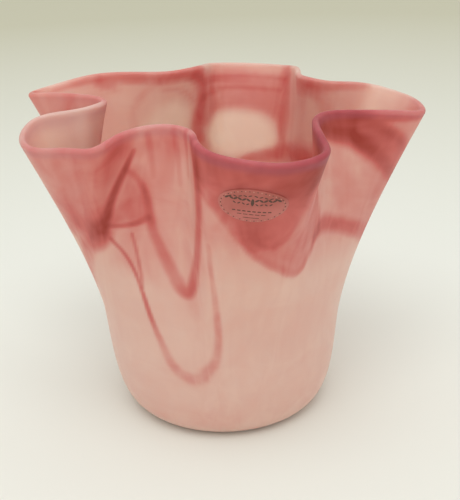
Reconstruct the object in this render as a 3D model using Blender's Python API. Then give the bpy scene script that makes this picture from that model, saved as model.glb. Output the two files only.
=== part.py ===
"""Handkerchief vase of satin alabaster glass, with a small oval foil label.

The vase is one blown piece: a round body on a flat foot, whose wall is drawn
up and pinched into five loose folds. The label lies on the front fold.
Metres, +Z up, the origin under the body's axis on the ground, the front towards -Y.
"""
import math

import bmesh
import bpy
import numpy as np

MM = 0.001

# Round body, on the middle of the glass wall. The foot sits a little to the right of its axis,
# and BODY_LEAN is how much the body's side opens outwards per unit of height.
FOOT_RADIUS = 38.5 * MM
FOOT_ROUND = 12 * MM
FOOT_SHIFT = 1.2 * MM
BODY_RADIUS = 53.5 * MM
BODY_HEIGHT = 42 * MM
BODY_FULLNESS = 18 * MM
BODY_LEAN = 0.10

# Glass
WALL = 2.8 * MM
FLOOR = 5 * MM
FLOOR_EASE = 12 * MM

# Folded wall: FOLD_UNIT is the length that the folds are counted in, and FOLD_FLARE is the power
# of the height at which they deepen
LIP_HEIGHT = 147 * MM
FOLD_UNIT = 1 * MM
FOLD_FLARE = 1.85

# The lip, taken counterclockwise from the front fold's left side. Each row is one place on it:
# where its meridian leaves the round body (degrees), where it ends up seen from above (degrees),
# how far it hangs out past the body radius and how far it lies below LIP_HEIGHT (both in FOLD_UNITs).
FRONT_FOLD = (
    (260, 261, 6, 2),
    (264, 264, 15, 3),
    (269, 269, 25, 5),
    (276, 278, 31, 7),
    (284, 287, 35, 8),
    (291, 297, 33, 7),
    (298, 302, 24, 6),
    (306, 306, 14, 4),
    (314, 314, 4, 3),
)
RIGHT_FOLD = (
    (322, 325, 2, 3),
    (330, 339, 11, 5),
    (340, 350, 26, 8),
    (350, 359, 37, 11),
    (361, 371, 40, 11),
    (371, 382, 40, 11),
    (380, 391, 37, 10),
    (387, 392, 24, 7),
    (394, 390, 8, 4),
    (401, 395, 0, 2),
)
BACK_FOLD = (
    (409, 409, 8, 3),
    (416, 418, 24, 4),
    (424, 426, 36, 6),
    (436, 439, 39, 6),
    (448, 451, 35, 5),
    (456, 455, 16, 2),
    (465, 463, 0, 0),
)
FAR_LEFT_FOLD = (
    (474, 474, 1, 1),
    (486, 486, 15, 2),
    (498, 496, 30, 3),
    (508, 505, 44, 7),
    (516, 514, 46, 8),
    (523, 518, 34, 6),
    (530, 527, 13, 3),
    (538, 540, -1, 1),
    (546, 551, -5, 1),
)
LEFT_FOLD = (
    (551, 559, 1, 1),
    (555, 552, 10, 4),
    (559, 549, 24, 7),
    (562, 559, 31, 11),
    (565, 573, 30, 11),
    (568, 585, 27, 8),
    (571, 595, 25, 6),
    (578, 598, 17, 3),
    (595, 604, 7, 1),
    (612, 614, 3, 1),
)
LIP_PLACES = FRONT_FOLD + RIGHT_FOLD + BACK_FOLD + FAR_LEFT_FOLD + LEFT_FOLD

# Oval label on the front fold's outer face
LABEL_WIDTH = 25 * MM
LABEL_HEIGHT = 15.5 * MM
LABEL_THICKNESS = 0.25 * MM
LABEL_GAP = 0.3 * MM
LABEL_PLACE = 3.25
LABEL_RISE = 0.83

# How finely the meshes are drawn
COLUMNS_PER_PLACE = 3
BODY_ROWS = 7
WALL_ROWS = 12
LIP_ROWS = 3
LABEL_RINGS = 4
LABEL_COLUMNS = 48
SMOOTH_DEGREES = 50

# Small step, in places and in wall heights, for the surface's slopes
STEP = 0.001

GLASS_COLOUR = (0.600, 0.380, 0.310, 1.0)
LABEL_COLOUR = (0.450, 0.330, 0.250, 1.0)


def clear_scene():
    for old in list(bpy.data.objects):
        bpy.data.objects.remove(old, do_unlink=True)


def make_material(name, colour, roughness, metallic):
    material = bpy.data.materials.new(name)
    material.use_nodes = True
    shader = material.node_tree.nodes["Principled BSDF"]
    shader.inputs["Base Color"].default_value = colour
    shader.inputs["Roughness"].default_value = roughness
    shader.inputs["Metallic"].default_value = metallic
    material.diffuse_color = colour
    return material


class Lip:
    """The lip's middle line: a closed cubic spline through LIP_PLACES.

    A point on it is (body azimuth, x, y, z), and its parameter counts places.
    """

    def __init__(self):
        places = []
        for body, plan, overhang, drop in LIP_PLACES:
            reach = BODY_RADIUS + overhang * FOLD_UNIT
            angle = math.radians(plan)
            places.append((math.radians(body), reach * math.cos(angle), reach * math.sin(angle),
                           LIP_HEIGHT - drop * FOLD_UNIT))
        self.count = len(places)
        self.start = np.array(places)
        self.end = np.roll(self.start, -1, axis=0)
        self.end[-1, 0] += 2 * math.pi
        spans = self.end[:, 1:] - self.start[:, 1:]
        self.span = np.sqrt(np.linalg.norm(spans, axis=1))
        self.bend = self.solve_bends()

    def solve_bends(self):
        """Second derivatives that make the closed curve's slope and bend run on at each place."""
        slope = (self.end - self.start) / self.span[:, None]
        matrix = np.zeros((self.count, self.count))
        right = np.zeros((self.count, 4))
        for i in range(self.count):
            before, after = self.span[i - 1], self.span[i]
            matrix[i, i - 1] += before
            matrix[i, i] += 2 * (before + after)
            matrix[i, (i + 1) % self.count] += after
            right[i] = 6 * (slope[i] - slope[i - 1])
        return np.linalg.solve(matrix, right)

    def at(self, place):
        turn, local = np.divmod(place, self.count)
        i = np.minimum(local.astype(int), self.count - 1)
        f = (local - i)[..., None]
        square = self.span[i][..., None] ** 2 / 6
        point = (1 - f) * self.start[i] + f * self.end[i]
        point += square * ((1 - f) ** 3 - (1 - f)) * self.bend[i]
        point += square * (f ** 3 - f) * self.bend[(i + 1) % self.count]
        point[..., 0] += turn * 2 * math.pi
        return point


def body_surface(lip, place, rise):
    """Middle of the wall from the foot's edge (rise 0) to the body height (rise 1), one round curve."""
    azimuth = lip.at(place)[..., 0]
    handles = ((FOOT_RADIUS, WALL / 2),
               (FOOT_RADIUS + FOOT_ROUND, WALL / 2),
               (BODY_RADIUS - BODY_LEAN * BODY_FULLNESS, BODY_HEIGHT - BODY_FULLNESS),
               (BODY_RADIUS, BODY_HEIGHT))
    weights = ((1 - rise) ** 3, 3 * rise * (1 - rise) ** 2, 3 * rise ** 2 * (1 - rise), rise ** 3)
    radius = sum(w * h[0] for w, h in zip(weights, handles))
    height = sum(w * h[1] for w, h in zip(weights, handles))
    middle = FOOT_SHIFT * (1 - rise) ** 2
    return np.stack([middle + radius * np.cos(azimuth), radius * np.sin(azimuth), height + 0 * azimuth], -1)


def wall_surface(lip, place, rise):
    """Middle of the wall from the body height (rise 0) to the lip (rise 1).

    The folds start flush with the body and deepen faster and faster towards the lip.
    """
    edge = lip.at(place)
    azimuth = edge[..., 0]
    depth = rise ** FOLD_FLARE
    height = BODY_HEIGHT + (edge[..., 3] - BODY_HEIGHT) * rise
    radius = BODY_RADIUS + BODY_LEAN * (height - BODY_HEIGHT)
    x = (1 - depth) * radius * np.cos(azimuth) + depth * edge[..., 1]
    y = (1 - depth) * radius * np.sin(azimuth) + depth * edge[..., 2]
    return np.stack([x, y, height], -1)


def unit(vectors):
    return vectors / np.linalg.norm(vectors, axis=-1, keepdims=True)


def with_normal(surface, lip, place, rise):
    """Points of a surface, its outward normals and its upward directions."""
    around = surface(lip, place + STEP, rise) - surface(lip, place - STEP, rise)
    up = surface(lip, place, rise + STEP) - surface(lip, place, max(rise - STEP, 0.0))
    return surface(lip, place, rise), unit(np.cross(around, up)), unit(up)


def inner_depth(middle):
    """How far the inside lies within the wall's middle: thicker low down, where the glass pooled."""
    pooled = np.clip(1 - (middle[..., 2:] - WALL / 2) / FLOOR_EASE, 0, 1) ** 2
    return WALL / 2 + (FLOOR - WALL) * pooled


def vase_rings(lip):
    """Rings of points from the foot's edge, up the outside, over the lip and down the inside."""
    place = np.arange(lip.count * COLUMNS_PER_PLACE) / COLUMNS_PER_PLACE
    rows = [(body_surface, rise) for rise in np.linspace(0, 1, BODY_ROWS, endpoint=False)]
    rows += [(wall_surface, rise) for rise in np.linspace(0, 1, WALL_ROWS)]
    outside, inside = [], []
    for surface, rise in rows:
        middle, normal, up = with_normal(surface, lip, place, rise)
        outside.append(middle + normal * WALL / 2)
        inside.append(middle - normal * inner_depth(middle))
    rounding = []
    for turn in np.linspace(0, math.pi, LIP_ROWS + 2)[1:-1]:
        rounding.append(middle + (normal * math.cos(turn) + up * math.sin(turn)) * WALL / 2)
    return outside + rounding + inside[::-1]


def skin(mesh_name, rings):
    """A closed mesh through rings of points, with a face across its first and its last ring."""
    form = bmesh.new()
    loops = [[form.verts.new(tuple(point)) for point in ring] for ring in rings]
    for lower, upper in zip(loops, loops[1:]):
        for i in range(len(lower)):
            form.faces.new((lower[i - 1], lower[i], upper[i], upper[i - 1]))
    form.faces.new(loops[0][::-1])
    form.faces.new(loops[-1])
    bmesh.ops.recalc_face_normals(form, faces=form.faces)
    mesh = bpy.data.meshes.new(mesh_name)
    form.to_mesh(mesh)
    form.free()
    return mesh


def place_object(name, mesh, material):
    piece = bpy.data.objects.new(name, mesh)
    bpy.context.collection.objects.link(piece)
    mesh.materials.append(material)
    mesh.shade_smooth()
    mesh.set_sharp_from_angle(angle=math.radians(SMOOTH_DEGREES))
    return piece


def make_vase(lip):
    glass = make_material("satin_rose_glass", GLASS_COLOUR, 0.45, 0.0)
    return place_object("vase", skin("vase", vase_rings(lip)), glass)


def label_point(lip, across, up, lift):
    """A point over the front fold's outside, across and up from the label's centre, in metres."""
    wall_run = np.linalg.norm(wall_surface(lip, np.array(LABEL_PLACE), LABEL_RISE + STEP)
                              - wall_surface(lip, np.array(LABEL_PLACE), LABEL_RISE - STEP)) / (2 * STEP)
    lip_run = np.linalg.norm(wall_surface(lip, np.array(LABEL_PLACE + STEP), LABEL_RISE)
                             - wall_surface(lip, np.array(LABEL_PLACE - STEP), LABEL_RISE)) / (2 * STEP)
    place = np.array(LABEL_PLACE + across / lip_run)
    middle, normal, _ = with_normal(wall_surface, lip, place, LABEL_RISE + up / wall_run)
    return middle + normal * (WALL / 2 + lift)


def make_label(lip):
    foil = make_material("clear_foil", LABEL_COLOUR, 0.35, 0.0)

    def ring(share, lift):
        turns = [2 * math.pi * i / LABEL_COLUMNS for i in range(LABEL_COLUMNS)]
        return [label_point(lip, share * LABEL_WIDTH / 2 * math.cos(turn),
                            share * LABEL_HEIGHT / 2 * math.sin(turn), lift) for turn in turns]

    shares = [(i + 1) / LABEL_RINGS for i in range(LABEL_RINGS)]
    back = [ring(share, LABEL_GAP) for share in shares]
    face = [ring(share, LABEL_GAP + LABEL_THICKNESS) for share in shares[::-1]]
    return place_object("label", skin("label", back + face), foil)


clear_scene()
LIP = Lip()
make_vase(LIP)
make_label(LIP)
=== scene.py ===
"""Looks of a handkerchief vase of satin pink glass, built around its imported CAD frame.

The vase is blown as a round cup of pale opal glass with trails of rose glass laid on it, then
its wall is drawn out and pinched into five folds, and its skin is etched to a satin. The trails
are laid out here on the cup, before it is folded, so they run round the folds as the glass did.
"""
import math

import bpy
import numpy as np
from mathutils import Matrix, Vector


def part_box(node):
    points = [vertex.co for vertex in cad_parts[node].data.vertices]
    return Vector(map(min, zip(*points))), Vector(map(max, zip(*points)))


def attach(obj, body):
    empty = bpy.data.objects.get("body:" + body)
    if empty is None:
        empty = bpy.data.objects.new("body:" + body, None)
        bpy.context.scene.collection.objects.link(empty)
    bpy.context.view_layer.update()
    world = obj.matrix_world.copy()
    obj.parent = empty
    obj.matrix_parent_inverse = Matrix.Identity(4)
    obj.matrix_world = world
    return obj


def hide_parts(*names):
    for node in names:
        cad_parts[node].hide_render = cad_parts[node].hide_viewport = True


bl_info = {
    "name": "Handkerchief Vase",
    "version": (1, 0, 0),
    "blender": (4, 5, 0),
    "location": "3D Viewport > Sidebar > Vase",
    "description": "Makes a folded vase of satin pink glass, its foil label and a pale studio",
    "category": "Object",
}

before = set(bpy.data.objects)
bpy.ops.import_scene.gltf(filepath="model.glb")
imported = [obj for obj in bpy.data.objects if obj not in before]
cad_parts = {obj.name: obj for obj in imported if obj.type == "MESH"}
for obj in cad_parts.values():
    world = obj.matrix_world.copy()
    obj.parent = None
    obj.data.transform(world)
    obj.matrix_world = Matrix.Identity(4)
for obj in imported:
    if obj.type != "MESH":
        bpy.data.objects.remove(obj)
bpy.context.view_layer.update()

MM = 0.001

# The lip, as in the part's source: where each place's meridian leaves the round body (degrees),
# where it ends up seen from above (degrees), its overhang and its drop (both in fold units)
FRONT_FOLD = (
    (260, 261, 6, 2),
    (264, 264, 15, 3),
    (269, 269, 25, 5),
    (276, 278, 31, 7),
    (284, 287, 35, 8),
    (291, 297, 33, 7),
    (298, 302, 24, 6),
    (306, 306, 14, 4),
    (314, 314, 4, 3),
)
RIGHT_FOLD = (
    (322, 325, 2, 3),
    (330, 339, 11, 5),
    (340, 350, 26, 8),
    (350, 359, 37, 11),
    (361, 371, 40, 11),
    (371, 382, 40, 11),
    (380, 391, 37, 10),
    (387, 392, 24, 7),
    (394, 390, 8, 4),
    (401, 395, 0, 2),
)
BACK_FOLD = (
    (409, 409, 8, 3),
    (416, 418, 24, 4),
    (424, 426, 36, 6),
    (436, 439, 39, 6),
    (448, 451, 35, 5),
    (456, 455, 16, 2),
    (465, 463, 0, 0),
)
FAR_LEFT_FOLD = (
    (474, 474, 1, 1),
    (486, 486, 15, 2),
    (498, 496, 30, 3),
    (508, 505, 44, 7),
    (516, 514, 46, 8),
    (523, 518, 34, 6),
    (530, 527, 13, 3),
    (538, 540, -1, 1),
    (546, 551, -5, 1),
)
LEFT_FOLD = (
    (551, 559, 1, 1),
    (555, 552, 10, 4),
    (559, 549, 24, 7),
    (562, 559, 31, 11),
    (565, 573, 30, 11),
    (568, 585, 27, 8),
    (571, 595, 25, 6),
    (578, 598, 17, 3),
    (595, 604, 7, 1),
    (612, 614, 3, 1),
)
LIP_PLACES = FRONT_FOLD + RIGHT_FOLD + BACK_FOLD + FAR_LEFT_FOLD + LEFT_FOLD

# Small step, in places and in wall heights, for the surface's slopes
STEP = 0.001
# The body's last rise, under the seam at 1 where the drawn wall starts
JUST_BELOW_SEAM = 1 - 1e-9

# The trails of rose glass. A point is (place round the lip, rise, half width in mm, strength).
# Rise is 0 at the foot, 1 where the round body ends and 2 at the lip. Places below 0 run on
# to the left from the front fold, round the left fold.
PLEAT = (
    ((-2.30, 1.93, 1.0, 0.40), (-2.47, 1.88, 1.2, 0.65), (-2.75, 1.80, 1.6, 0.85),
     (-3.00, 1.738, 1.9, 0.90), (-3.25, 1.675, 2.2, 0.88), (-3.60, 1.63, 2.6, 0.82),
     (-3.90, 1.615, 2.8, 0.66)),
    ((-3.3, 1.66, 4.5, 0.42), (-3.9, 1.62, 5.0, 0.42), (-4.6, 1.625, 5.0, 0.34),
     (-5.3, 1.63, 4.5, 0.20)),
    ((-3.6, 1.58, 4.0, 0.55), (-4.4, 1.55, 4.2, 0.50), (-5.4, 1.51, 4.0, 0.44), (-6.1, 1.42, 3.4, 0.36),
     (-6.6, 1.34, 3.0, 0.24), (-7.2, 1.27, 2.6, 0.12)),
)
LONG_LOOP = (
    ((-3.0, 1.55, 1.1, 0.50), (-2.5, 1.49, 1.0, 0.50), (-2.2, 1.42, 0.9, 0.54), (-2.0, 1.32, 1.0, 0.60),
     (-1.88, 1.24, 1.1, 0.54), (-1.76, 1.17, 1.3, 0.40), (-1.62, 1.10, 1.7, 0.32),
     (-1.42, 1.01, 2.1, 0.26), (-1.12, 0.91, 2.5, 0.22), (-0.6, 0.868, 2.9, 0.20),
     (0.0, 0.885, 3.0, 0.19), (0.5, 0.925, 2.9, 0.19), (1.2, 0.985, 2.4, 0.21), (1.69, 1.045, 1.9, 0.24),
     (1.94, 1.15, 1.6, 0.24), (1.95, 1.24, 1.4, 0.25), (1.88, 1.345, 1.2, 0.24), (1.81, 1.425, 1.0, 0.22),
     (1.75, 1.49, 1.0, 0.20), (1.70, 1.60, 1.0, 0.10)),
    ((-2.2, 1.58, 0.8, 0.34), (-2.08, 1.50, 0.8, 0.40), (-2.0, 1.41, 0.8, 0.40),
     (-1.98, 1.34, 0.8, 0.34)),
)
SHORT_LOOP = (
    ((-3.4, 1.625, 1.4, 0.60), (-2.75, 1.612, 1.1, 0.50), (-2.25, 1.62, 1.1, 0.52),
     (-1.95, 1.635, 1.2, 0.46), (-1.72, 1.655, 1.2, 0.25)),
    ((-2.50, 1.857, 1.2, 0.25), (-2.25, 1.835, 1.3, 0.34), (-2.00, 1.80, 1.3, 0.38),
     (-1.86, 1.765, 1.4, 0.42), (-1.75, 1.72, 1.8, 0.40), (-1.68, 1.65, 2.0, 0.42),
     (-1.60, 1.60, 2.0, 0.38), (-1.43, 1.54, 2.1, 0.35), (-1.25, 1.48, 2.4, 0.38),
     (-1.05, 1.42, 2.7, 0.42), (-0.84, 1.37, 2.8, 0.44), (-0.53, 1.35, 2.8, 0.46),
     (-0.22, 1.375, 2.3, 0.44), (0.12, 1.437, 1.9, 0.40), (0.75, 1.556, 1.7, 0.42),
     (1.12, 1.675, 1.8, 0.46), (1.25, 1.786, 2.1, 0.60), (1.28, 1.86, 2.3, 0.70), (1.20, 1.94, 2.6, 0.74),
     (0.88, 1.99, 2.8, 0.66)),
    # streaks drawn up between the loop and the lip
    ((-1.9, 1.98, 1.4, 0.30), (-1.7, 1.90, 1.2, 0.26), (-1.6, 1.82, 1.0, 0.12)),
    ((-0.9, 1.99, 1.4, 0.22), (-0.7, 1.90, 1.2, 0.18), (-0.6, 1.80, 1.0, 0.08)),
    ((-0.2, 1.99, 1.2, 0.16), (0.0, 1.92, 1.0, 0.12), (0.1, 1.84, 1.0, 0.05)),
)
BAND_EDGES = (
    # a darker stripe along each side of the right fold's band
    ((8.9, 1.925, 3.0, 0.35), (9.6, 1.90, 3.2, 0.48), (10.2, 1.865, 3.2, 0.50), (10.7, 1.82, 3.2, 0.46),
     (11.3, 1.765, 3.0, 0.40), (12.0, 1.715, 2.6, 0.24)),
    ((9.3, 1.985, 2.6, 0.45), (10.0, 1.968, 2.6, 0.42), (10.6, 1.94, 2.4, 0.36), (11.2, 1.905, 2.2, 0.26),
     (11.8, 1.87, 2.0, 0.12)),
)
# deeper rose along the front lip's top: partly rose glass, and partly painted shade that darkens the lit
# rounding of the lip and the pinch
FRONT_LIP_ROSE_AND_SHADE = (
    ((0.6, 2.0, 1.2, 0.15), (1.4, 2.0, 2.0, 0.28), (3.0, 2.0, 2.0, 0.22), (4.4, 1.998, 2.6, 0.50),
     (5.4, 1.995, 3.4, 0.85), (6.6, 1.992, 3.6, 0.90), (7.6, 1.988, 3.6, 0.90), (8.4, 1.988, 3.4, 0.85),
     (9.4, 1.99, 2.6, 0.72), (10.4, 1.984, 2.0, 0.60), (11.2, 1.984, 1.6, 0.50), (11.9, 1.988, 1.2, 0.26),
     (12.3, 1.99, 0.8, 0.06)),
)
HEM = (
    # the rolled edge of the veil under the front fold
    ((2.0, 1.80, 1.4, 0.10), (2.9, 1.675, 1.6, 0.18), (3.6, 1.585, 1.8, 0.20), (4.5, 1.51, 1.8, 0.20),
     (5.4, 1.45, 2.0, 0.20), (6.2, 1.43, 2.0, 0.20), (6.8, 1.47, 2.0, 0.22), (7.4, 1.53, 2.2, 0.22)),
    # on from the veil under the front fold, over the pinch and round the right fold
    ((7.4, 1.545, 2.6, 0.30), (8.2, 1.57, 3.6, 0.52), (9.0, 1.553, 3.2, 0.58), (9.9, 1.526, 3.2, 0.56),
     (10.8, 1.49, 3.6, 0.54), (11.6, 1.455, 4.0, 0.52), (12.6, 1.44, 3.6, 0.50), (13.6, 1.46, 3.0, 0.50),
     (14.8, 1.52, 3.0, 0.52), (15.9, 1.56, 2.6, 0.54), (17.5, 1.50, 2.6, 0.50)),
    # round the back folds to the left fold
    ((17.5, 1.50, 2.6, 0.50), (19.5, 1.40, 2.4, 0.46), (21.0, 1.36, 2.4, 0.50), (22.5, 1.42, 2.4, 0.54),
     (24.0, 1.52, 2.8, 0.58), (25.0, 1.50, 2.8, 0.54), (26.5, 1.38, 2.4, 0.46), (28.5, 1.30, 2.4, 0.46),
     (30.0, 1.36, 2.4, 0.50), (31.5, 1.50, 2.8, 0.58), (33.5, 1.56, 3.0, 0.60), (35.0, 1.50, 2.8, 0.54),
     (36.5, 1.38, 2.6, 0.36), (37.8, 1.28, 2.6, 0.16)),
    # long loops that hang from it at the back
    ((19.6, 1.38, 1.4, 0.48), (20.0, 1.20, 1.4, 0.50), (20.8, 1.04, 2.0, 0.40), (21.8, 0.98, 2.6, 0.36),
     (22.8, 1.06, 2.2, 0.38), (23.4, 1.22, 1.6, 0.42), (23.9, 1.50, 1.5, 0.44)),
    ((28.6, 1.32, 1.3, 0.44), (29.2, 1.18, 1.4, 0.42), (30.2, 1.08, 2.0, 0.36), (31.2, 1.14, 1.8, 0.38),
     (31.8, 1.30, 1.4, 0.42), (32.2, 1.48, 1.6, 0.46)),
)
INNER_BANDS = (
    # under the lip of the right fold
    ((15.3, 1.995, 1.2, 0.15), (16.2, 1.995, 2.0, 0.26), (16.9, 1.99, 2.2, 0.34),
     (17.9, 1.985, 2.2, 0.36), (19.0, 1.98, 2.4, 0.30)),
    ((16.9, 1.80, 3.0, 0.16), (17.2, 1.90, 3.0, 0.24), (17.9, 1.965, 3.0, 0.26),
     (18.8, 1.944, 3.0, 0.20)),
    # across the back fold, low down, up its two sides, and its streaks
    ((17.9, 1.62, 4.0, 0.34), (18.8, 1.62, 4.2, 0.38), (20.2, 1.60, 4.0, 0.42), (21.2, 1.575, 3.4, 0.42),
     (22.0, 1.545, 2.4, 0.38), (22.5, 1.50, 2.0, 0.34), (22.9, 1.455, 1.8, 0.28)),
    ((20.8, 2.00, 4.0, 0.28), (20.6, 1.86, 4.4, 0.32), (20.6, 1.74, 4.4, 0.26),
     (20.45, 1.62, 4.0, 0.20)),
    ((24.6, 2.01, 5.0, 0.46), (24.4, 1.90, 4.6, 0.44), (24.5, 1.82, 4.0, 0.44), (24.7, 1.74, 3.6, 0.44),
     (24.6, 1.66, 3.4, 0.36)),
    ((20.8, 1.945, 1.2, 0.18), (22.0, 1.94, 1.4, 0.24), (23.2, 1.935, 1.6, 0.32),
     (24.4, 1.93, 2.0, 0.40)),
    ((21.0, 1.885, 1.2, 0.20), (22.2, 1.89, 1.2, 0.24), (23.4, 1.875, 1.4, 0.30),
     (24.4, 1.86, 1.8, 0.36)),
    # along the rim of the far left fold, and the ring in it
    ((24.5, 1.95, 2.8, 0.52), (25.3, 1.985, 2.6, 0.48), (26.3, 1.985, 2.6, 0.45),
     (27.2, 1.985, 2.6, 0.44), (27.9, 1.985, 2.0, 0.38), (29.2, 1.98, 1.4, 0.24)),
    ((27.9, 1.97, 2.4, 0.26), (27.65, 1.95, 2.4, 0.30), (27.5, 1.93, 1.8, 0.16)),
    ((26.3, 1.97, 2.0, 0.20), (26.7, 1.92, 1.8, 0.18), (27.1, 1.84, 1.8, 0.15), (27.2, 1.74, 2.0, 0.10)),
    ((26.2, 1.93, 1.4, 0.15), (25.75, 1.925, 1.4, 0.17), (25.3, 1.90, 1.4, 0.14),
     (24.9, 1.85, 1.4, 0.10)),
)
TRAILS = PLEAT + LONG_LOOP + SHORT_LOOP + BAND_EDGES + FRONT_LIP_ROSE_AND_SHADE + HEM + INNER_BANDS

# Where rose glass lies on the pale glass as a thin veil: its strength, how soft its edge is in mm,
# and its corners as (place, rise). Where the strength is below 0, the opal is milkier.
VEILS = (
    # under the front fold, and its darker inner half
    (0.34, 1.6, ((1.3, 1.84), (1.6, 1.81), (2.06, 1.778), (2.4, 1.735), (2.95, 1.655), (3.55, 1.575),
                 (4.3, 1.505), (5.25, 1.44), (6.1, 1.415), (6.65, 1.43), (6.95, 1.475), (7.4, 1.515),
                 (8.0, 1.55), (7.9, 1.64), (7.2, 1.78), (6.4, 2.10), (1.3, 2.10))),
    (0.30, 1.6, ((1.3, 1.90), (1.75, 1.857), (2.06, 1.80), (2.4, 1.766), (2.95, 1.687), (3.5, 1.635),
                 (4.2, 1.61), (4.62, 1.64), (4.78, 1.706), (4.9, 1.78), (4.95, 1.87), (5.4, 1.93),
                 (6.0, 2.10), (1.3, 2.10))),
    # a deeper rose under the front lip, most of all towards the pinch at its right, where part of it is
    # painted shade in the pinch
    (0.34, 13.0, ((1.3, 1.90), (2.6, 1.84), (4.4, 1.80), (6.0, 1.80), (7.6, 1.86), (7.6, 2.3),
                  (1.3, 2.3))),
    (0.56, 5.0, ((3.5, 1.97), (4.2, 1.90), (5.6, 1.86), (6.4, 1.84), (7.6, 1.88), (8.6, 1.96), (8.6, 2.2),
                 (3.5, 2.2))),
    # along the lip from the left fold to the front
    (0.22, 6.0, ((-3.2, 1.93), (-1.6, 1.90), (0.0, 1.92), (1.2, 1.93), (1.6, 2.10), (-3.2, 2.10))),
    # the left fold
    (0.36, 6.0, ((-6.6, 2.10), (-6.7, 1.80), (-6.4, 1.60), (-5.4, 1.54), (-4.4, 1.55), (-3.1, 1.60),
                 (-2.9, 1.75), (-2.4, 2.10))),
    (0.16, 6.0, ((-5.6, 2.10), (-5.2, 1.90), (-4.4, 1.80), (-3.6, 1.72), (-2.9, 1.76), (-2.6, 2.10))),
    (0.30, 6.0, ((-6.3, 1.60), (-6.4, 1.76), (-4.8, 1.80), (-3.4, 1.74), (-3.4, 1.60))),
    # inside the short loop, and the pale glass beside it
    (0.34, 2.5, ((-2.9, 1.62), (-2.75, 1.74), (-2.4, 1.87), (-2.0, 1.86), (-1.7, 1.74), (-1.65, 1.64))),
    (0.22, 7.0, ((-3.0, 1.44), (-3.0, 2.00), (-0.8, 1.98), (-1.2, 1.60), (-1.5, 1.36))),
    (0.16, 9.0, ((-1.0, 1.40), (-1.2, 1.70), (-1.0, 2.10), (2.2, 2.10), (1.6, 1.75), (1.4, 1.45),
                 (0.0, 1.20))),
    # a wash over the whole upper wall
    (0.24, 14.0, ((1.4, 1.66), (1.4, 2.3), (14.0, 2.3), (14.0, 1.42), (8.0, 1.46), (5.0, 1.50),
                  (3.0, 1.60))),
    (0.08, 16.0, ((15.0, 1.30), (15.0, 2.3), (39.0, 2.3), (39.0, 1.30))),
    # the right fold: its dark band, which starts in the pinch, and the glass over and beside it
    (0.56, 2.6, ((7.9, 2.15), (9.6, 2.10), (10.2, 1.985), (10.75, 1.95), (11.6, 1.89), (12.6, 1.80),
                 (13.8, 1.71), (15.0, 1.63), (15.6, 1.58), (13.8, 1.61), (12.2, 1.67), (10.81, 1.766),
                 (10.19, 1.829), (9.62, 1.877), (8.81, 1.909), (8.3, 1.92), (8.0, 1.98))),
    (0.75, 3.4, ((8.0, 2.15), (8.3, 1.93), (9.2, 1.905), (9.9, 1.88), (10.5, 1.84), (10.3, 1.90),
                 (9.8, 1.95), (9.3, 2.15))),
    (0.12, 3.0, ((9.6, 2.15), (9.9, 2.00), (10.6, 1.93), (12.0, 1.84), (13.4, 1.76), (13.2, 1.90),
                 (12.8, 2.15))),
    (0.26, 4.0, ((11.0, 1.80), (10.9, 1.66), (10.9, 1.53), (11.6, 1.48), (13.6, 1.48), (14.4, 1.60),
                 (13.4, 1.72), (12.2, 1.78))),
    # the back fold: its rose top, its milky oval and its sides
    (0.12, 3.0, ((17.8, 1.58), (18.0, 1.95), (20.2, 1.96), (20.5, 1.80), (20.6, 1.58))),
    (0.28, 3.4, ((20.6, 1.965), (22.4, 1.97), (24.8, 1.98), (24.8, 1.64), (24.2, 1.70), (23.6, 1.755),
                 (22.9, 1.79), (22.2, 1.80), (21.5, 1.78), (21.0, 1.74), (20.6, 1.66))),
    (-0.28, 3.6, ((24.0, 1.66), (23.7, 1.72), (23.1, 1.765), (22.4, 1.78), (21.7, 1.765), (21.2, 1.72),
                  (20.95, 1.66), (21.1, 1.61), (21.7, 1.58), (22.6, 1.56), (23.6, 1.59))),
    (-0.20, 4.0, ((25.1, 1.60), (25.1, 1.82), (25.7, 1.87), (26.4, 1.84), (26.9, 1.74), (27.0, 1.60))),
    (-0.06, 5.0, ((24.9, 1.96), (27.6, 1.96), (28.4, 1.70), (26.4, 1.66), (25.0, 1.68))),
    (-0.12, 9.0, ((12.6, 2.3), (12.6, 1.92), (15.0, 1.86), (15.0, 2.3))),
    (0.24, 6.0, ((15.6, 1.56), (17.5, 1.51), (19.5, 1.42), (21.0, 1.38), (21.0, 1.52), (19.0, 1.58),
                 (17.0, 1.74), (15.4, 1.80))),
    # the far left fold and the left fold's far wall
    (0.40, 5.0, ((29.6, 1.97), (30.4, 1.84), (31.4, 1.66), (32.2, 1.54), (33.2, 1.56), (34.0, 1.58),
                 (34.2, 1.72), (34.2, 1.88), (34.2, 2.10), (29.6, 2.10))),
    (0.26, 6.0, ((23.8, 1.54), (25.0, 1.51), (26.5, 1.41), (28.5, 1.33), (30.0, 1.38), (31.5, 1.52),
                 (30.8, 1.64), (29.4, 1.66), (27.6, 1.58), (25.6, 1.62), (24.4, 1.64))),
    (-0.16, 6.0, ((35.0, 1.70), (35.0, 2.20), (37.2, 2.20), (37.2, 1.70))),
    # a faint rose low on the front: mostly painted shade on the lower body, partly the glass's own blush
    (0.06, 9.0, ((-2.6, 0.55), (-2.4, 0.30), (2.0, 0.30), (3.4, 0.42), (2.0, 0.58))),
)

# How lilac the lip is round the vase, partly the thick lip's own tone and partly a painted reflection of
# bluish light: (place, reach below the lip in mm, strength)
LIP_TINT_AND_SHEEN = (
    (0.0, 3.0, 0.34), (1.5, 3.0, 0.44), (3.0, 3.4, 0.46), (4.2, 3.2, 0.48), (5.4, 3.2, 0.50),
    (7.0, 3.2, 0.50), (8.6, 3.0, 0.45), (9.6, 2.4, 0.42), (12.4, 2.0, 0.30), (13.6, 1.6, 0.10),
    (30.0, 1.6, 0.06), (33.6, 3.0, 0.22), (36.4, 7.0, 0.30), (38.0, 3.0, 0.30), (43.4, 3.0, 0.32),
)


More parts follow.
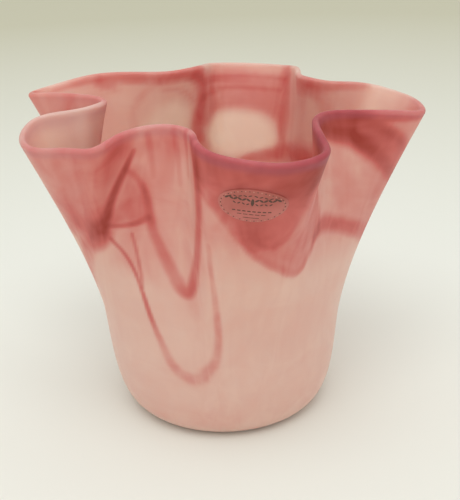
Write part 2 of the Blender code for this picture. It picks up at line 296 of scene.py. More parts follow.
def linear(hex_colour):
    """An sRGB hex colour as linear red, green, blue and alpha."""
    channels = [int(hex_colour[i:i + 2], 16) / 255 for i in (1, 3, 5)]
    return (*[c / 12.92 if c <= 0.04045 else ((c + 0.055) / 1.055) ** 2.4 for c in channels], 1.0)


def number(name, description, default, **more):
    return bpy.props.FloatProperty(name=name, description=description, default=default, **more)


def length(name, description, default):
    return number(name, description, default, subtype="DISTANCE", unit="LENGTH")


def colour(name, description, hex_colour):
    return bpy.props.FloatVectorProperty(name=name, description=description, size=4, min=0.0, max=1.0,
                                         default=linear(hex_colour), subtype="COLOR")


class VaseShape(bpy.types.PropertyGroup):
    """The blown and folded form, with the same values as the part's source."""

    foot_radius: length("Foot Radius", "Half the foot's flat, at the middle of the wall", 38.5 * MM)
    foot_round: length("Foot Round", "How roundly the foot's edge turns up", 12 * MM)
    foot_shift: length("Foot Shift", "How far the foot sits to the right", 1.2 * MM)
    body_radius: length("Body Radius", "Radius where the round body ends", 53.5 * MM)
    body_height: length("Body Height", "Height where the round body ends", 42 * MM)
    body_fullness: length("Body Fullness", "How full the body is below that height", 18 * MM)
    body_lean: number("Body Lean", "How much the side opens outwards", 0.10)
    wall: length("Wall", "Thickness of the blown glass", 2.8 * MM)
    floor: length("Floor", "Thickness of the floor", 5 * MM)
    floor_ease: length("Floor Ease", "Height over which the floor thins to the wall", 12 * MM)
    lip_height: length("Lip Height", "Height of the lip's highest places", 147 * MM)
    fold_unit: length("Fold Unit", "The length that the folds are counted in", 1 * MM)
    fold_flare: number("Fold Flare", "How late the folds deepen up the wall, as a power", 1.85)


class VaseGlass(bpy.types.PropertyGroup):
    """Colours of the glass, as the etched surface shows them."""

    milk: colour("Milky Opal", "Opal glass at its whitest", "#EAD1C1")
    pale: colour("Pale Opal", "Opal glass with no rose on it", "#DAB3A6")
    blush: colour("Blush", "A thin veil of rose", "#CE9086")
    rose: colour("Rose", "A trail of rose glass", "#C26761")
    deep: colour("Deep Rose", "Where trails lie on each other", "#98352B")
    # the lip's lilac is partly its own tone and partly a painted reflection of bluish light on its rounding
    lilac_and_sheen: colour("Lilac Lip", "The fire-polished lip", "#96526A")


class VaseLabel(bpy.types.PropertyGroup):
    """The oval foil label on the front fold."""

    width: length("Width", "Width of the oval", 25 * MM)
    height: length("Height", "Height of the oval", 15.5 * MM)
    thickness: length("Thickness", "Thickness of the foil", 0.25 * MM)
    gap: length("Gap", "Distance from the glass", 0.3 * MM)
    place: number("Place", "Its centre's place on the lip", 3.25)
    rise: number("Rise", "Its centre's height on the wall", 0.83)
    foil: colour("Foil", "The foil's warm cast over the glass", "#A98A62")
    ink: colour("Ink", "The print", "#3B2A1E")
    gilt: colour("Gilt", "The pale dots of the border", "#C88F7C")


class VaseStage(bpy.types.PropertyGroup):
    """Studio and camera."""

    floor: colour("Floor", "The pale floor", "#ECEDE3")
    # the far floor's darker tone is painted shade, for the light falling off further back
    far: colour("Far Floor", "The floor further back", "#D2D0B7")
    sky: colour("Backdrop", "What lies behind the floor", "#C4C2AB")
    lens: number("Lens", "Focal length", 64.8, subtype="DISTANCE_CAMERA")
    key: number("Key Light", "Power of the soft light above the front", 3.4, subtype="POWER")
    fill: number("Ambient", "Strength of the light from all round", 0.86)


class Lip:
    """The lip's middle line: a closed cubic spline through LIP_PLACES.

    A point on it is (body azimuth, x, y, z), and its parameter counts places.
    """

    def __init__(self, shape):
        places = []
        for body, plan, overhang, drop in LIP_PLACES:
            reach = shape.body_radius + overhang * shape.fold_unit
            angle = math.radians(plan)
            places.append((math.radians(body), reach * math.cos(angle), reach * math.sin(angle),
                           shape.lip_height - drop * shape.fold_unit))
        self.count = len(places)
        self.start = np.array(places)
        self.end = np.roll(self.start, -1, axis=0)
        self.end[-1, 0] += 2 * math.pi
        spans = self.end[:, 1:] - self.start[:, 1:]
        self.span = np.sqrt(np.linalg.norm(spans, axis=1))
        self.bend = self.solve_bends()

    def solve_bends(self):
        """Second derivatives that make the closed curve's slope and bend run on at each place."""
        slope = (self.end - self.start) / self.span[:, None]
        matrix = np.zeros((self.count, self.count))
        right = np.zeros((self.count, 4))
        for i in range(self.count):
            before, after = self.span[i - 1], self.span[i]
            matrix[i, i - 1] += before
            matrix[i, i] += 2 * (before + after)
            matrix[i, (i + 1) % self.count] += after
            right[i] = 6 * (slope[i] - slope[i - 1])
        return np.linalg.solve(matrix, right)

    def at(self, place):
        """Points of the curve. A place past the last one is a turn further round."""
        turn, local = np.divmod(place, self.count)
        i = np.minimum(local.astype(int), self.count - 1)
        f = (local - i)[..., None]
        square = self.span[i][..., None] ** 2 / 6
        point = (1 - f) * self.start[i] + f * self.end[i]
        point += square * ((1 - f) ** 3 - (1 - f)) * self.bend[i]
        point += square * (f ** 3 - f) * self.bend[(i + 1) % self.count]
        point[..., 0] += turn * 2 * math.pi
        return point


class Form:
    """The vase's middle surface over (place, rise), its normals and its two skins."""

    def __init__(self, shape):
        self.shape = shape
        self.lip = Lip(shape)
        self.count = self.lip.count

    def body(self, edge, rise):
        """The round body from the foot at 0 to the seam at 1, as a cubic turned about the axis."""
        s = self.shape
        handles = ((s.foot_radius, s.wall / 2),
                   (s.foot_radius + s.foot_round, s.wall / 2),
                   (s.body_radius - s.body_lean * s.body_fullness, s.body_height - s.body_fullness),
                   (s.body_radius, s.body_height))
        weights = ((1 - rise) ** 3, 3 * rise * (1 - rise) ** 2, 3 * rise ** 2 * (1 - rise), rise ** 3)
        radius = sum(w * h[0] for w, h in zip(weights, handles))
        height = sum(w * h[1] for w, h in zip(weights, handles))
        middle = s.foot_shift * (1 - rise) ** 2
        azimuth = edge[..., 0]
        x = middle + radius * np.cos(azimuth)
        y = radius * np.sin(azimuth)
        return np.stack([x, y, height + 0 * azimuth], -1)

    def wall(self, edge, rise):
        """The drawn wall from the seam at 0, still round, to the folded lip at 1."""
        s = self.shape
        azimuth = edge[..., 0]
        depth = rise ** s.fold_flare
        height = s.body_height + (edge[..., 3] - s.body_height) * rise
        radius = s.body_radius + s.body_lean * (height - s.body_height)
        x = (1 - depth) * radius * np.cos(azimuth) + depth * edge[..., 1]
        y = (1 - depth) * radius * np.sin(azimuth) + depth * edge[..., 2]
        return np.stack([x, y, height], -1)

    def at(self, place, rise):
        """Points of the middle surface, for arrays of places and of rises from 0 to 2."""
        place, rise = np.broadcast_arrays(np.asarray(place, float), np.asarray(rise, float))
        edge = self.lip.at(place)
        return np.where((rise < 1)[..., None], self.body(edge, np.clip(rise, 0, 1)),
                        self.wall(edge, np.clip(rise - 1, 0, None)))

    def frame_at(self, place, rise):
        """Points, outward normals and upward directions. The rises stay on one side of the seam at 1."""
        low = np.where(rise >= 1, np.maximum(rise - STEP, 1), np.maximum(rise - STEP, 0))
        high = np.where(rise < 1, np.minimum(rise + STEP, JUST_BELOW_SEAM), rise + STEP)
        around = self.at(place + STEP, rise) - self.at(place - STEP, rise)
        up = self.at(place, high) - self.at(place, low)
        normal = np.cross(around, up)
        normal /= np.linalg.norm(normal, axis=-1, keepdims=True)
        return self.at(place, rise), normal, up / np.linalg.norm(up, axis=-1, keepdims=True)

    def inner_depth(self, middle):
        """How far the inside lies within the middle: thicker low down, where the glass pooled."""
        s = self.shape
        pooled = np.clip(1 - (middle[..., 2:] - s.wall / 2) / s.floor_ease, 0, 1) ** 2
        return s.wall / 2 + (s.floor - s.wall) * pooled


# How finely the glass is drawn, most where thin trails run. A row is the first and last place of
# a stretch and its columns per place, or its first and last rise and its number of rows.
COLUMNS = (
    (-5.0, 2.5, 18),
    (2.5, 14.0, 9),
    (14.0, 36.0, 7),
    (36.0, 40.0, 8),
)
BODY_ROWS = (
    (0.0, 0.7, 12),
    (0.7, 1.0, 20),
)
WALL_ROWS = 108
INNER_STEP = 2
LIP_ROWS = 6
FLOOR_RINGS = 5
SMOOTH_DEGREES = 50

# Points on each stretch of a trail, less than half a trail's width apart
TRAIL_SAMPLES = 28
# How far from a trail's own places and rises its glass is looked for
TRAIL_PLACES = 2.0
TRAIL_RISES = 0.12
# Where a trail starts to fade and where it ends, in half widths from its middle
TRAIL_FADE = (0.3, 1.7)

# Millimetres per place and per unit of rise, on average, for the veils' soft edges
PLACE_RUN = 10.0
WALL_RUN = 108.0

# The lip's lilac, with its painted reflection, fades between these shares of its reach
LILAC_FADE = (0.2, 1.4)
# The polished edge itself, this many mm deep, takes this share of the lilac and its painted reflection
EDGE_DEPTH = 2
EDGE_SHARE = 0.85


def smooth(low, high, value):
    """Runs softly from 0 at low to 1 at high."""
    t = np.clip((value - low) / (high - low), 0, 1)
    return t * t * (3 - 2 * t)


def along(points, samples):
    """Points along a smooth curve through control points, which bends as a soft trail does."""
    p = np.array(points, float)
    p = np.vstack([2 * p[0] - p[1], p, 2 * p[-1] - p[-2]])
    t = np.linspace(0, 1, samples, endpoint=False)[:, None]
    out = []
    for a, b, c, d in zip(p, p[1:], p[2:], p[3:]):
        out.append(0.5 * (2 * b + (c - a) * t + (2 * a - 5 * b + 4 * c - d) * t ** 2
                          + (3 * b - a - 3 * c + d) * t ** 3))
    out.append(p[-2:-1])
    return np.vstack(out)


def turned(difference, count):
    """A difference of places by the shorter way round."""
    return (difference + count / 2) % count - count / 2


def rose_density(form, place, rise):
    """How much rose glass lies at each point, up to 1, and below 0 where the opal is milkier."""
    points = form.at(place, rise).reshape(-1, 3)
    clear = np.ones(place.shape)
    for trail in TRAILS:
        line = along(trail, TRAIL_SAMPLES)
        centre = (line[:, 0].min() + line[:, 0].max()) / 2
        reach = (line[:, 0].max() - line[:, 0].min()) / 2 + TRAIL_PLACES
        near = np.abs(turned(place - centre, form.count)) < reach
        near &= (rise > line[:, 1].min() - TRAIL_RISES) & (rise < line[:, 1].max() + TRAIL_RISES)
        spot = np.nonzero(near.ravel())[0]
        path = form.at(line[:, 0], line[:, 1])
        gap = np.full(len(spot), np.inf)
        half = np.ones(len(spot))
        power = np.zeros(len(spot))
        here = points[spot]
        for at, (_, _, width, strength) in zip(path, line):
            distance = np.linalg.norm(here - at, axis=1) / MM
            closer = distance / width < gap
            gap = np.where(closer, distance / width, gap)
            power = np.where(closer, strength, power)
        clear.ravel()[spot] *= 1 - np.clip(power, 0, 1) * (1 - smooth(*TRAIL_FADE, gap))
    milk = np.zeros(place.shape)
    for strength, softness, corners in VEILS:
        cover = smooth(-softness, softness, veil_depth(form, place, rise, np.array(corners)))
        if strength > 0:
            clear *= 1 - strength * cover
        else:
            milk += strength * cover
    return 1 - clear + milk


def veil_depth(form, place, rise, corners):
    """Signed distance in mm to the outline of a veil, above 0 inside it."""
    centre = corners[:, 0].mean()
    x = turned(place - centre, form.count) * PLACE_RUN
    y = rise * WALL_RUN
    px = (corners[:, 0] - centre) * PLACE_RUN
    py = corners[:, 1] * WALL_RUN
    nearest = np.full(place.shape, np.inf)
    inside = np.zeros(place.shape, bool)
    for i in range(len(px)):
        ax, ay, bx, by = px[i - 1], py[i - 1], px[i], py[i]
        t = ((x - ax) * (bx - ax) + (y - ay) * (by - ay)) / ((bx - ax) ** 2 + (by - ay) ** 2)
        t = np.clip(t, 0, 1)
        nearest = np.minimum(nearest, np.hypot(x - ax - t * (bx - ax), y - ay - t * (by - ay)))
        if ay != by:
            crosses = ((ay > y) != (by > y)) & (x < ax + (y - ay) * (bx - ax) / (by - ay))
            inside ^= crosses
    return np.where(inside, nearest, -nearest)


def lip_tint_and_sheen(form, place, rise):
    """How lilac the glass is near the lip: the thick lip's own tone together with a painted reflection of
    bluish light.
    """
    places, reaches, strengths = np.array(LIP_TINT_AND_SHEEN).T
    reach = np.interp(place, places, reaches, period=form.count)
    strength = np.interp(place, places, strengths, period=form.count)
    below = (2 - rise) * WALL_RUN
    start, end = LILAC_FADE
    edge = EDGE_SHARE + (1 - EDGE_SHARE) * smooth(0, EDGE_DEPTH, below)
    return strength * edge * (1 - smooth(start * reach, end * reach, below))


def glass_mesh(shape):
    """The whole glass skin as one closed mesh, with what its material needs at each point."""
    form = Form(shape)
    place = np.concatenate([np.linspace(first, last, round((last - first) * columns), endpoint=False)
                            for first, last, columns in COLUMNS])
    rises = [np.linspace(*stretch, endpoint=False) for stretch in BODY_ROWS]
    rises = np.concatenate(rises + [np.linspace(1, 2, WALL_ROWS)])
    grid_place, grid_rise = np.meshgrid(place, rises)
    middle, normal, up = form.frame_at(grid_place, grid_rise)
    outside = middle + normal * shape.wall / 2
    inside = middle - normal * form.inner_depth(middle)
    rose, lilac_and_sheen, blank = glass_values(form, grid_place, grid_rise)

    def floor_ring(edge, share):
        """A ring of the floor, at some share of the way from its middle to its edge."""
        flat = edge.mean(0) + (edge - edge.mean(0)) * share
        flat[:, 2] = edge[:, 2]
        return flat, rose[0], lilac_and_sheen[0], blank[0] * (share, share, 1)

    shares = np.linspace(0, 1, FLOOR_RINGS, endpoint=False)[1:]
    rings = [floor_ring(outside[0], share) for share in shares]
    rings += [(outside[i], rose[i], lilac_and_sheen[i], blank[i]) for i in range(len(rises))]
    for turn in np.linspace(0, math.pi, LIP_ROWS + 2)[1:-1]:
        rounding = middle[-1] + (normal[-1] * math.cos(turn) + up[-1] * math.sin(turn)) * shape.wall / 2
        rings.append((rounding, rose[-1], lilac_and_sheen[-1], blank[-1]))
    for i in (*range(len(rises) - 1, 0, -INNER_STEP), 0):
        rings.append((inside[i], rose[i], lilac_and_sheen[i], blank[i]))
    rings += [floor_ring(inside[0], share) for share in shares[::-1]]
    points, *values = (np.array(part) for part in zip(*rings))
    low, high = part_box("vase")
    mesh = ring_mesh("vase_glass", np.clip(points, np.array(low), np.array(high)))
    add_values(mesh, values)
    return mesh


def glass_values(form, place, rise):
    """The glass's rose, its lilac with the lip's painted reflection, and where each point was on the blown
    cup before it was folded.
    """
    turn = 2 * math.pi * place / form.count
    radius = form.shape.body_radius
    blank = np.stack([radius * np.cos(turn), radius * np.sin(turn), rise * WALL_RUN * MM], -1)
    return rose_density(form, place, rise), lip_tint_and_sheen(form, place, rise), blank


def add_values(mesh, values):
    """Stores what glass_values gives for each of the mesh's points."""
    kinds = (("rose", "FLOAT", "value"), ("lilac_and_sheen", "FLOAT", "value"), ("blank", "FLOAT_VECTOR", "vector"))
    for (name, kind, field), value in zip(kinds, values):
        attribute = mesh.attributes.new(name, kind, "POINT")
        attribute.data.foreach_set(field, value.astype(np.float32).ravel())


def ring_mesh(name, points):
    """A closed mesh through rings of points, with a face across its first and its last ring."""
    rows, columns = points.shape[:2]
    index = np.arange(rows * columns).reshape(rows, columns)
    quads = np.stack([index[:-1], np.roll(index[:-1], -1, 1), np.roll(index[1:], -1, 1), index[1:]], -1)
    faces = [index[0][::-1].tolist()] + quads.reshape(-1, 4).tolist() + [index[-1].tolist()]
    mesh = bpy.data.meshes.new(name)
    mesh.from_pydata(points.reshape(-1, 3).tolist(), [], faces)
    return mesh


def add_object(name, data):
    thing = bpy.data.objects.new(name, data)
    bpy.context.scene.collection.objects.link(thing)
    return thing


def add_piece(name, mesh, materials):
    """Puts a mesh into the scene as a smooth piece that rides on the vase."""
    mesh.shade_smooth()
    mesh.set_sharp_from_angle(angle=math.radians(SMOOTH_DEGREES))
    for material in materials:
        mesh.materials.append(material)
    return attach(add_object(name, mesh), "root")


def add_node(tree, kind, settings=(), links=()):
    """Adds a node, sets its properties or sockets by name, and links sockets into it."""
    node = tree.nodes.new(kind)
    for name, value in dict(settings).items():
        if isinstance(name, str) and hasattr(node, name):
            setattr(node, name, value)
        else:
            node.inputs[name].default_value = value
    for name, source in dict(links).items():
        tree.links.new(source, node.inputs[name])
    return node


def new_material(name):
    material = bpy.data.materials.new(name)
    material.use_nodes = True
    shader = material.node_tree.nodes["Principled BSDF"]
    return material, material.node_tree, shader


# The amount of rose at which the opal is whitest, and those of a veil and of a trail
MILKIEST = -0.25
VEIL_ROSE = 0.28
TRAIL_ROSE = 0.62
# How much the amount of rose wavers up and down
UNEVENNESS = 0.16


def rose_colour(tree, glass):
    """The glass's colour: pale opal, blush, rose and deep rose by how much rose lies there."""
    rose = add_node(tree, "ShaderNodeAttribute", {"attribute_name": "rose"})
    lilac_and_sheen = add_node(tree, "ShaderNodeAttribute", {"attribute_name": "lilac_and_sheen"})
    blank = add_node(tree, "ShaderNodeAttribute", {"attribute_name": "blank"})
    # soft strands drawn out up the wall, about 7 mm apart and four times as long
    drawn = add_node(tree, "ShaderNodeMapping", {"Scale": (1.0, 1.0, 0.25)},
                     {"Vector": blank.outputs["Vector"]})
    strands = add_node(tree, "ShaderNodeTexNoise",
                       {"Scale": 1 / (7 * MM), "Detail": 2.0, "Distortion": 0.8},
                       {"Vector": drawn.outputs["Vector"]})
    # clouds of uneven rose, about 20 mm across
    clouds = add_node(tree, "ShaderNodeTexNoise",
                      {"Scale": 1 / (20 * MM), "Detail": 3.0, "Distortion": 1.0},
                      {"Vector": blank.outputs["Vector"]})
    both = add_node(tree, "ShaderNodeMath", {"operation": "ADD"},
                    {0: strands.outputs["Fac"], 1: clouds.outputs["Fac"]})
    uneven = add_node(tree, "ShaderNodeMapRange",
                      {"From Min": 0.7, "From Max": 1.3, "To Min": -UNEVENNESS, "To Max": UNEVENNESS},
                      {"Value": both.outputs["Value"]})
    # the waver is strongest where there is some rose, and faint on pale glass
    share = add_node(tree, "ShaderNodeMapRange",
                     {"From Min": 0.0, "From Max": 0.4, "To Min": 0.25, "To Max": 1.0},
                     {"Value": rose.outputs["Fac"]})
    wisps = add_node(tree, "ShaderNodeMath", {"operation": "MULTIPLY"},
                     {0: uneven.outputs["Result"], 1: share.outputs["Result"]})
    density = add_node(tree, "ShaderNodeMath", {"operation": "ADD"},
                       {0: rose.outputs["Fac"], 1: wisps.outputs["Value"]})
    ramped = add_node(tree, "ShaderNodeMapRange", {"From Min": MILKIEST, "From Max": 1.0},
                      {"Value": density.outputs["Value"]})
    ramp = add_node(tree, "ShaderNodeValToRGB", (), {"Fac": ramped.outputs["Result"]})
    stops = ramp.color_ramp.elements
    stops[0].position, stops[0].color = 0.0, glass.milk
    stops[1].position, stops[1].color = 1.0, glass.deep
    for amount, tone in ((0.0, glass.pale), (VEIL_ROSE, glass.blush), (TRAIL_ROSE, glass.rose)):
        stops.new((amount - MILKIEST) / (1 - MILKIEST)).color = tone
    # the lip's lilac, partly a painted reflection, is laid over the rose
    tinted = add_node(tree, "ShaderNodeMix", {"data_type": "RGBA", "B": glass.lilac_and_sheen},
                      {"Factor": lilac_and_sheen.outputs["Fac"], "A": ramp.outputs["Color"]})
    return tinted.outputs["Result"], blank.outputs["Vector"]


def satin_rose_glass(glass):
    """Acid-etched opal glass.

    The etched skin blurs every highlight to a soft sheen, and the opal under it glows where the
    wall is thin, so folds look lit from within.
    """
    material, tree, shader = new_material("acid_etched_rose_opal_glass")
    tone, blank = rose_colour(tree, glass)
    tree.links.new(tone, shader.inputs["Base Color"])
    shader.inputs["IOR"].default_value = 1.5
    shader.inputs["Specular IOR Level"].default_value = 0.3
    shader.inputs["Subsurface Weight"].default_value = 0.8
    shader.inputs["Subsurface Radius"].default_value = (1.0, 0.78, 0.68)
    shader.inputs["Subsurface Scale"].default_value = 10 * MM
    # the real etch is far finer than the render shows, so its grain is drawn 0.9 mm across
    etch = add_node(tree, "ShaderNodeTexNoise", {"Scale": 1 / (0.9 * MM), "Detail": 2.0},
                    {"Vector": blank})
    rough = add_node(tree, "ShaderNodeMapRange", {"To Min": 0.38, "To Max": 0.52},
                     {"Value": etch.outputs["Fac"]})
    tree.links.new(rough.outputs["Result"], shader.inputs["Roughness"])
    bump = add_node(tree, "ShaderNodeBump", {"Strength": 0.12, "Distance": 0.05 * MM},
                    {"Height": etch.outputs["Fac"]})
    tree.links.new(bump.outputs["Normal"], shader.inputs["Normal"])
    return material


class VASE_OT_glass(bpy.types.Operator):
    """Make the folded glass with its trails of rose"""

    bl_idname = "vase.glass"
    bl_label = "Glass"

    def execute(self, context):
        scene = context.scene
        piece = add_piece("vase_glass", glass_mesh(scene.vase_shape), [satin_rose_glass(scene.vase_glass)])
        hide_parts("vase")
        return {"FINISHED"}


# The foil's columns round its oval and rings from middle to rim. Its pressed rim is narrower as
# RIM_POWER is higher.
FOIL_COLUMNS = 96
FOIL_RINGS = 12
RIM_POWER = 24

# The label's print, in mm from its centre. It is plain shapes: a dotted border, a garland and rules.
PRINT_GAP = 0.02 * MM
PRINT_THICKNESS = 0.03 * MM
BORDER_DOTS = 52
BORDER_SHARE = 0.91
DOT_RADIUS = 0.24
# Corners of a dot, a leaf and the bud, and points along each side of a rule
DOT_CORNERS = 8
LEAF_CORNERS = 14
BUD_CORNERS = 18
RULE_POINTS = 5
# Each row of paired leaves: its number of pairs, its first leaf's distance from the middle, its
# spacing and height, how much each pair lies below the last, and its leaves' half length, half
# width and lean in degrees, which changes sides from pair to pair as on a vine
GARLAND = (
    (5, 1.0, 1.75, 5.0, 0.26, 0.70, 0.24, -24),
    (6, 1.5, 1.50, 3.0, -0.05, 0.90, 0.40, 38),
    (4, 1.6, 1.60, 1.0, -0.10, 0.65, 0.26, -35),
)
# The bud in the middle: its place across and up, its half width and its half height
BUD = (0.0, 2.0, 0.6, 1.7)
# Each row of short rules: its number of rules, its spacing and height, and their half length and
# half height
RULES = (
    (8, 1.85, -2.4, 0.60, 0.24),
    (5, 2.2, -3.9, 0.80, 0.14),
    (1, 0.0, -5.5, 3.0, 0.12),
)


class LabelPlace:
    """The front fold's outside round the label's centre, in lengths across and up from it."""

    def __init__(self, form, label):
        self.form = form
        self.label = label
        here, high = label.place, 1 + label.rise
        up = form.at(here, high + STEP) - form.at(here, high - STEP)
        across = form.at(here + STEP, high) - form.at(here - STEP, high)
        self.wall_run = np.linalg.norm(up) / (2 * STEP)
        self.lip_run = np.linalg.norm(across) / (2 * STEP)

    def on_wall(self, across, up):
        """The places and rises of points that lie across and up from the centre."""
        place = self.label.place + np.asarray(across) / self.lip_run
        return place, 1 + self.label.rise + np.asarray(up) / self.wall_run

    def at(self, across, up, lift):
        """Points that are lifted off the glass's outside."""
        middle, normal, _ = self.form.frame_at(*self.on_wall(across, up))
        return middle + normal * (self.form.shape.wall / 2 + lift)


def foil_mesh(where, label):
    """The foil: an oval leaf of many rings, with the glass's rose at each point."""
    turn = 2 * math.pi * np.arange(FOIL_COLUMNS) / FOIL_COLUMNS
    shares = (np.arange(FOIL_RINGS) + 1) / FOIL_RINGS
    levels = [(share, label.gap) for share in shares]
    levels += [(share, label.gap + label.thickness) for share in shares[::-1]]
    across = np.array([share * label.width / 2 * np.cos(turn) for share, _ in levels])
    up = np.array([share * label.height / 2 * np.sin(turn) for share, _ in levels])
    # the rim is pressed down on the glass
    lift = np.array([level - (label.gap - PRINT_GAP) * share ** RIM_POWER for share, level in levels])
    mesh = ring_mesh("foil_label", where.at(across, up, lift[:, None, None]))
    add_values(mesh, glass_values(where.form, *where.on_wall(across, up)))
    return mesh


def print_mesh(where, label):
    """Dots, leaves and rules as plates of print over the foil. Ink comes first and gilt second."""
    outlines = []
    for i in range(BORDER_DOTS):
        turn = 2 * math.pi * i / BORDER_DOTS
        x = BORDER_SHARE * label.width / 2 / MM * math.cos(turn)
        y = BORDER_SHARE * label.height / 2 / MM * math.sin(turn)
        outlines.append((i % 2, oval(x, y, DOT_RADIUS, DOT_RADIUS, 0, DOT_CORNERS)))
    for pairs, first, spacing, y, fall, half, thin, lean in GARLAND:
        for i in range(pairs):
            for side in (-1, 1):
                x = side * (first + spacing * i)
                turn = side * lean * (-1) ** i
                outlines.append((0, oval(x, y - fall * i, half, thin, turn, LEAF_CORNERS)))
    outlines.append((0, oval(*BUD, 0, BUD_CORNERS)))
    for count, spacing, y, half, thin in RULES:
        for i in range(count):
            x = spacing * (i - (count - 1) / 2)
            steps = np.linspace(-half, half, RULE_POINTS)
            below = [(x + t, y - thin) for t in steps]
            outlines.append((0, below + [(x + t, y + thin) for t in steps[::-1]]))
    base = label.gap + label.thickness + PRINT_GAP
    points, faces, slots = [], [], []
    for slot, outline in outlines:
        flat = np.array(outline) * MM
        first, sides = len(points), len(flat)
        for lift in (base, base + PRINT_THICKNESS):
            points += where.at(flat[:, 0], flat[:, 1], lift).tolist()
        faces.append([first + i for i in reversed(range(sides))])
        faces.append([first + sides + i for i in range(sides)])
        for i in range(sides):
            after = (i + 1) % sides
            faces.append([first + i, first + after, first + sides + after, first + sides + i])
        slots += [slot] * (sides + 2)
    mesh = bpy.data.meshes.new("label_print")
    mesh.from_pydata(points, [], faces)
    mesh.polygons.foreach_set("material_index", slots)
    return mesh


def oval(x, y, half, thin, turn, sides):
    """Corners of an oval at (x, y), turned by some degrees."""
    c, s = math.cos(math.radians(turn)), math.sin(math.radians(turn))
    around = [2 * math.pi * i / sides for i in range(sides)]
    return [(x + half * math.cos(a) * c - thin * math.sin(a) * s,
             y + half * math.cos(a) * s + thin * math.sin(a) * c) for a in around]


# How much of its own cast the foil lays over the glass
FOIL_CAST = 0.08


def clear_foil(glass, label):
    """Clear varnished foil: the glass shows through it, a little yellower and glossier."""
    material, tree, shader = new_material("clear_varnished_foil")
    tone, _ = rose_colour(tree, glass)
    cast = add_node(tree, "ShaderNodeMix",
                    {"data_type": "RGBA", "Factor": FOIL_CAST, "B": label.foil}, {"A": tone})
    tree.links.new(cast.outputs["Result"], shader.inputs["Base Color"])
    shader.inputs["Roughness"].default_value = 0.30
    return material


# What worn print fades towards: rose glass under foil
WORN_TONE = "#9A5646"


def worn_print(name, tone):
    """Printing ink, worn unevenly, so that it is never quite solid."""
    material, tree, shader = new_material(name)
    # patches of wear, about 1.2 mm across
    grain = add_node(tree, "ShaderNodeTexNoise", {"Scale": 1 / (1.2 * MM), "Detail": 3.0})
    faint = add_node(tree, "ShaderNodeMapRange", {"From Min": 0.35, "From Max": 0.75, "To Max": 0.45},
                     {"Value": grain.outputs["Fac"]})
    worn = add_node(tree, "ShaderNodeMix", {"data_type": "RGBA", "A": tone, "B": linear(WORN_TONE)},
                    {"Factor": faint.outputs["Result"]})
    tree.links.new(worn.outputs["Result"], shader.inputs["Base Color"])
    shader.inputs["Roughness"].default_value = 0.45
    return material


class VASE_OT_label(bpy.types.Operator):
    """Make the oval foil label with its plain print"""

    bl_idname = "vase.label"
    bl_label = "Label"

    def execute(self, context):
        scene = context.scene
        label = scene.vase_label
        where = LabelPlace(Form(scene.vase_shape), label)
        foil = add_piece("foil_label", foil_mesh(where, label), [clear_foil(scene.vase_glass, label)])
        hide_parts("label")
        inks = [worn_print("brown_printing_ink", label.ink), worn_print("gilt_printing_ink", label.gilt)]
        prints = add_piece("label_print", print_mesh(where, label), inks)
        return {"FINISHED"}


CAMERA_PLACE = (4.5 * MM, -389.4 * MM, 233.9 * MM)
# Degrees that the camera looks down and is tipped sideways
CAMERA_DOWN = 22.5
CAMERA_ROLL = 1.7
SENSOR_HEIGHT = 36
FLOOR_SIZE = 8.0
# Metres from the vase between which the floor turns to its darker far tone, a painted shade for the light
# falling off further back
FLOOR_SHADE_FADE = (0.2, 1.3)
# The soft light: where it hangs, its width, its cool white, and the vase's middle, where it points
KEY_PLACE = (-0.04, -0.45, 1.05)
KEY_SIZE = 0.7
KEY_TONE = "#F9FDFF"
VASE_MIDDLE = (0.0, 0.0, 0.07)


def aim(thing, place, target):
    """Puts a thing at a place so that it points at a target."""
    back = np.array(place) - np.array(target)
    back /= np.linalg.norm(back)
    right = np.cross((0, 0, 1), back)
    right /= np.linalg.norm(right)
    turn = Matrix(np.column_stack([right, np.cross(back, right), back]).tolist()).to_4x4()
    thing.matrix_world = Matrix.Translation(place) @ turn


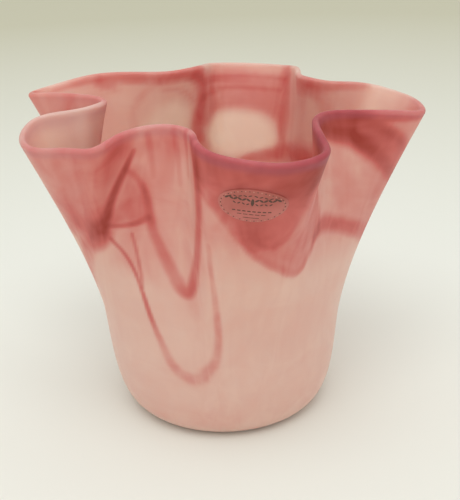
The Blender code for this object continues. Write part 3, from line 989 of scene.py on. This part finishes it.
class VASE_OT_stage(bpy.types.Operator):
    """Make the pale floor, the soft lights and the camera"""

    bl_idname = "vase.stage"
    bl_label = "Studio"

    def execute(self, context):
        stage = context.scene.vase_stage
        self.make_floor(stage)
        self.make_light(context, stage)
        self.make_camera(context, stage)
        context.scene.view_settings.view_transform = "Standard"
        return {"FINISHED"}

    def make_floor(self, stage):
        half = FLOOR_SIZE / 2
        mesh = bpy.data.meshes.new("floor")
        corners = [(-half, -half, 0), (half, -half, 0), (half, half, 0), (-half, half, 0)]
        mesh.from_pydata(corners, [], [(0, 1, 2, 3)])
        # matt painted board, which takes the vase's shadow but shows no reflection of it
        material, tree, shader = new_material("matt_painted_board")
        place = add_node(tree, "ShaderNodeTexCoord")
        away = add_node(tree, "ShaderNodeVectorMath", {"operation": "LENGTH"}, {0: place.outputs["Object"]})
        near, far = FLOOR_SHADE_FADE
        back = add_node(tree, "ShaderNodeMapRange", {"From Min": near, "From Max": far},
                        {"Value": away.outputs["Value"]})
        # the board darkens away from the vase: painted shade for the light's falloff
        tone = add_node(tree, "ShaderNodeMix", {"data_type": "RGBA", "A": stage.floor, "B": stage.far},
                        {"Factor": back.outputs["Result"]})
        tree.links.new(tone.outputs["Result"], shader.inputs["Base Color"])
        shader.inputs["Roughness"].default_value = 0.9
        mesh.materials.append(material)
        add_object("floor", mesh)

    def make_light(self, context, stage):
        world = bpy.data.worlds.new("studio")
        world.use_nodes = True
        tree = world.node_tree
        tree.nodes.clear()
        # the camera, gloss and clear glass see the backdrop, and all else gets plain white light
        path = add_node(tree, "ShaderNodeLightPath")
        seen = path.outputs["Is Camera Ray"]
        for kind in ("Is Glossy Ray", "Is Transmission Ray"):
            either = add_node(tree, "ShaderNodeMath", {"operation": "MAXIMUM"},
                              {0: seen, 1: path.outputs[kind]})
            seen = either.outputs["Value"]
        glow = add_node(tree, "ShaderNodeBackground",
                        {"Color": (1.0, 1.0, 1.0, 1.0), "Strength": stage.fill})
        sky = add_node(tree, "ShaderNodeBackground", {"Color": stage.sky, "Strength": 1.0})
        mix = add_node(tree, "ShaderNodeMixShader", (),
                       {"Fac": seen, 1: glow.outputs[0], 2: sky.outputs[0]})
        add_node(tree, "ShaderNodeOutputWorld", (), {"Surface": mix.outputs[0]})
        context.scene.world = world
        lamp = bpy.data.lights.new("key", "AREA")
        lamp.shape = "DISK"
        lamp.size = KEY_SIZE
        lamp.energy = stage.key
        lamp.color = linear(KEY_TONE)[:3]
        aim(add_object("key", lamp), KEY_PLACE, VASE_MIDDLE)

    def make_camera(self, context, stage):
        down = math.radians(CAMERA_DOWN)
        roll = math.radians(CAMERA_ROLL)
        right = np.array((1.0, 0.0, 0.0))
        up = np.array((0.0, math.sin(down), math.cos(down)))
        view = np.array((0.0, math.cos(down), -math.sin(down)))
        tipped_right = right * math.cos(roll) - up * math.sin(roll)
        tipped_up = up * math.cos(roll) + right * math.sin(roll)
        turn = Matrix(np.column_stack([tipped_right, tipped_up, -view]).tolist()).to_4x4()
        camera = bpy.data.cameras.new("camera")
        camera.sensor_fit = "VERTICAL"
        camera.sensor_height = SENSOR_HEIGHT
        camera.lens = stage.lens
        camera.clip_start = 0.01
        camera.clip_end = 50
        seat = add_object("camera", camera)
        seat.matrix_world = Matrix.Translation(CAMERA_PLACE) @ turn
        context.scene.camera = seat


class VASE_PT_panel(bpy.types.Panel):
    """Lists what makes the vase"""

    bl_label = "Handkerchief Vase"
    bl_idname = "VASE_PT_panel"
    bl_space_type = "VIEW_3D"
    bl_region_type = "UI"
    bl_category = "Vase"

    def draw(self, context):
        for operator in OPERATORS:
            self.layout.operator(operator.bl_idname)


GROUPS = {
    "vase_shape": VaseShape,
    "vase_glass": VaseGlass,
    "vase_label": VaseLabel,
    "vase_stage": VaseStage,
}
OPERATORS = (VASE_OT_stage, VASE_OT_glass, VASE_OT_label)


def register():
    for kind in (*GROUPS.values(), *OPERATORS, VASE_PT_panel):
        bpy.utils.register_class(kind)
    for name, group in GROUPS.items():
        setattr(bpy.types.Scene, name, bpy.props.PointerProperty(type=group))


def unregister():
    for name in GROUPS:
        delattr(bpy.types.Scene, name)
    for kind in (VASE_PT_panel, *OPERATORS, *GROUPS.values()):
        bpy.utils.unregister_class(kind)


def main():
    register()
    bpy.ops.vase.stage()
    bpy.ops.vase.glass()
    bpy.ops.vase.label()


if __name__ == "__main__":
    main()
